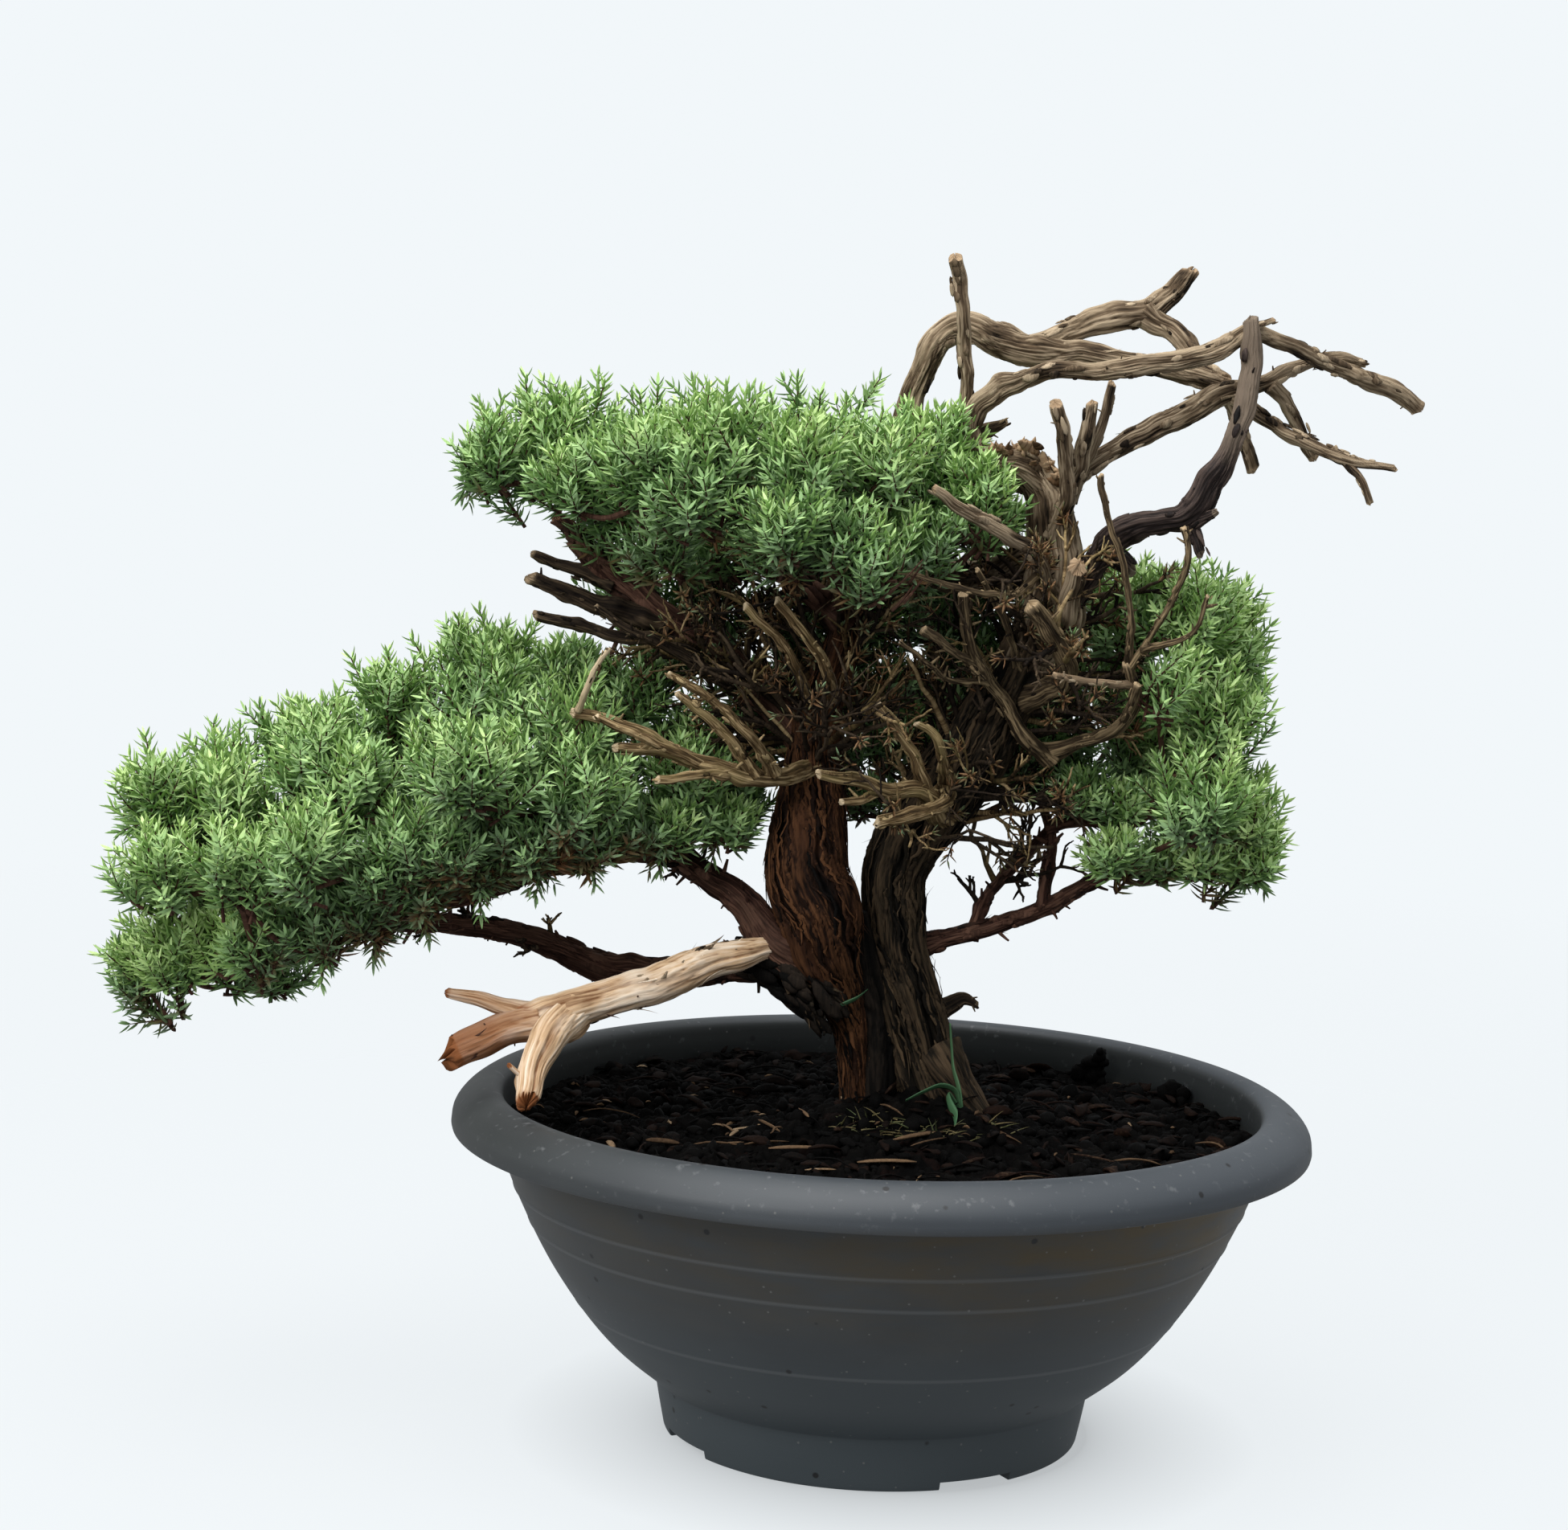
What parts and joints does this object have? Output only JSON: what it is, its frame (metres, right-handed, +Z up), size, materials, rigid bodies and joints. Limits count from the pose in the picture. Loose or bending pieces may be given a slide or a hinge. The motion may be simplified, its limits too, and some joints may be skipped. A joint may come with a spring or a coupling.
{
  "type": "juniper bonsai tree in a round plastic bowl",
  "caption": "Twin-trunk juniper bonsai with needle sprays, a bare dead crown and a stripped stub, rooted in soil in a round bowl with a rolled rim and a foot.",
  "frame": {"origin": "centre of the bowl's flat underside, on the surface that it stands on", "axes": "+Z up; -Y is the front of the tree; +X is the side of the dead crown, -X the side of the long low pad"},
  "size_m": [0.521, 0.35, 0.4795],
  "materials": {
    "plastic": "matte, moulded",
    "soil": "moist dark compost with bark chips",
    "bark": "fibrous peeling bark",
    "deadwood": "dry, weathered and furrowed",
    "stripped_wood": "bare, smooth and pale",
    "needles": "waxy green needles"
  },
  "bodies": {
    "root": {"bowl": "plastic", "dead_crown": "deadwood", "soil": "soil", "stripped_stub": "stripped_wood", "trunks_and_branches": "bark", "crown_spray_1": "needles", "crown_spray_2": "needles", "crown_spray_3": "needles", "crown_spray_4": "needles", "crown_spray_5": "needles", "crown_spray_6": "needles", "crown_spray_7": "needles", "crown_spray_8": "needles", "crown_spray_9": "needles", "crown_spray_10": "needles", "crown_spray_11": "needles", "crown_spray_12": "needles", "left_spray_1": "needles", "left_spray_2": "needles", "left_spray_3": "needles", "left_spray_4": "needles", "left_spray_5": "needles", "left_spray_6": "needles", "left_spray_7": "needles", "left_spray_8": "needles", "left_spray_9": "needles", "left_spray_10": "needles", "left_spray_11": "needles", "left_spray_12": "needles", "left_spray_13": "needles", "left_spray_14": "needles", "left_spray_15": "needles", "left_spray_16": "needles", "left_spray_17": "needles", "left_spray_18": "needles", "left_spray_19": "needles", "left_spray_20": "needles", "left_spray_21": "needles", "right_spray_1": "needles", "right_spray_2": "needles", "right_spray_3": "needles", "right_spray_4": "needles", "right_spray_5": "needles", "right_spray_6": "needles", "right_spray_7": "needles", "right_spray_8": "needles", "right_spray_9": "needles", "right_spray_10": "needles"}
  },
  "joints": []
}
